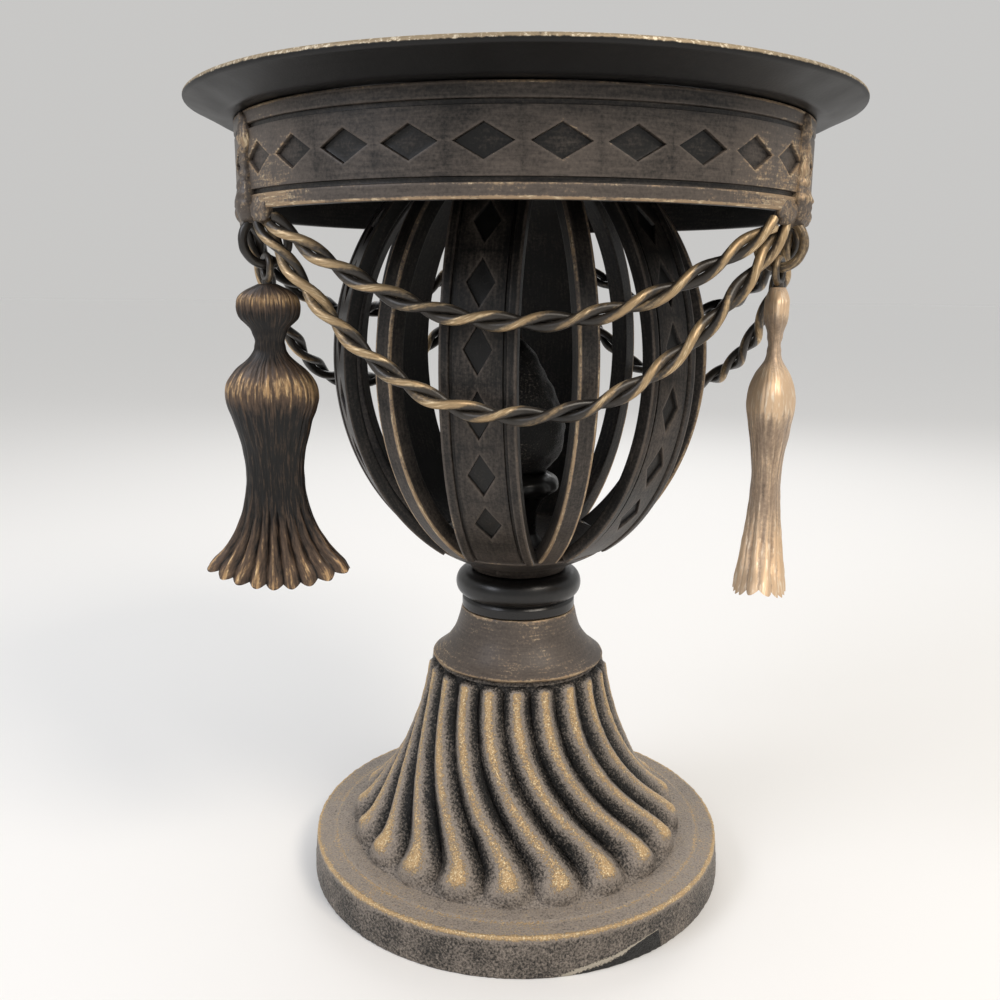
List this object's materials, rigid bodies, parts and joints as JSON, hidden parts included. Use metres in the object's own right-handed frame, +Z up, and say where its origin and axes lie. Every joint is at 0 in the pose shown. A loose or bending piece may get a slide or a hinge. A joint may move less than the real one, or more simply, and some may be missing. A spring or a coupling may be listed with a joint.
{
  "type": "candle stand",
  "caption": "Stand for a pillar candle: a brimmed plate over a diamond band and an open metal globe on a twisted gadrooned foot, hung with wire swags and tassels",
  "frame": {"origin": "on the table, under the middle of the foot", "axes": "+Z up along the stand's axis; -Y is the side that the picture shows; +X is to the right as seen in the picture"},
  "size_m": [0.176, 0.176, 0.22],
  "materials": {
    "cast_black": "grainy black casting, bronze rubbed over the crests",
    "rubbed_black": "satin black lacquer, bronze rubbed over the edges",
    "wire_bronze": "black lacquer worn to tan on the outer wires",
    "tassel_bronze": "black lacquer with gold-bronze rubbed over it",
    "steel": "plain zinc-plated steel, out of sight"
  },
  "bodies": {
    "stand": {"base_foot": "cast_black", "base_collar": "rubbed_black", "neck_bead": "rubbed_black", "tie_rod": "steel", "rod_washer": "steel", "rod_nut": "steel", "lower_hub": "rubbed_black", "cage_strap_1": "rubbed_black", "cage_strap_2": "rubbed_black", "cage_strap_3": "rubbed_black", "cage_strap_4": "rubbed_black", "cage_strap_5": "rubbed_black", "cage_strap_6": "rubbed_black", "cage_rib_1": "rubbed_black", "cage_rib_2": "rubbed_black", "cage_rib_3": "rubbed_black", "cage_rib_4": "rubbed_black", "cage_rib_5": "rubbed_black", "cage_rib_6": "rubbed_black", "upper_hub": "rubbed_black", "finial_bead": "cast_black", "finial": "cast_black", "plate": "rubbed_black", "plate_screw": "steel", "band_segment_1": "rubbed_black", "band_segment_2": "rubbed_black", "band_segment_3": "rubbed_black", "joint_weld_1": "rubbed_black", "joint_weld_2": "rubbed_black", "joint_weld_3": "rubbed_black", "hook_1": "wire_bronze", "hook_2": "wire_bronze", "hook_3": "wire_bronze", "upper_swag_1_wire_a": "wire_bronze", "upper_swag_1_wire_b": "wire_bronze", "upper_swag_2_wire_a": "wire_bronze", "upper_swag_2_wire_b": "wire_bronze", "upper_swag_3_wire_a": "wire_bronze", "upper_swag_3_wire_b": "wire_bronze", "lower_swag_1_wire_a": "wire_bronze", "lower_swag_1_wire_b": "wire_bronze", "lower_swag_2_wire_a": "wire_bronze", "lower_swag_2_wire_b": "wire_bronze", "lower_swag_3_wire_a": "wire_bronze", "lower_swag_3_wire_b": "wire_bronze"},
    "eye_1": {"tassel_eye_1": "tassel_bronze"},
    "hung_1": {"tassel_1": "tassel_bronze"},
    "eye_2": {"tassel_eye_2": "tassel_bronze"},
    "hung_2": {"tassel_2": "tassel_bronze"},
    "eye_3": {"tassel_eye_3": "tassel_bronze"},
    "hung_3": {"tassel_3": "tassel_bronze"}
  },
  "joints": [
    {"name": "eye_1_swing", "type": "hinge", "parent": "stand", "child": "eye_1", "pos_m": [-0.06235, -0.036, 0.17825], "axis": [-0.866, -0.5, 0], "range_deg": [-25, 25]},
    {"name": "tassel_1_turn", "type": "hinge", "parent": "eye_1", "child": "hung_1", "pos_m": [-0.06235, -0.036, 0.17825], "axis": [0, 0, 1], "range_deg": [-135, 15]},
    {"name": "eye_2_swing", "type": "hinge", "parent": "stand", "child": "eye_2", "pos_m": [0.06235, -0.036, 0.17825], "axis": [0.866, -0.5, 0], "range_deg": [-25, 25]},
    {"name": "tassel_2_turn", "type": "hinge", "parent": "eye_2", "child": "hung_2", "pos_m": [0.06235, -0.036, 0.17825], "axis": [0, 0, 1], "range_deg": [-91, 59]},
    {"name": "eye_3_swing", "type": "hinge", "parent": "stand", "child": "eye_3", "pos_m": [0, 0.072, 0.17825], "axis": [0, 1, 0], "range_deg": [-25, 25]},
    {"name": "tassel_3_turn", "type": "hinge", "parent": "eye_3", "child": "hung_3", "pos_m": [0, 0.072, 0.17825], "axis": [0, 0, 1], "range_deg": [-75, 75]}
  ]
}
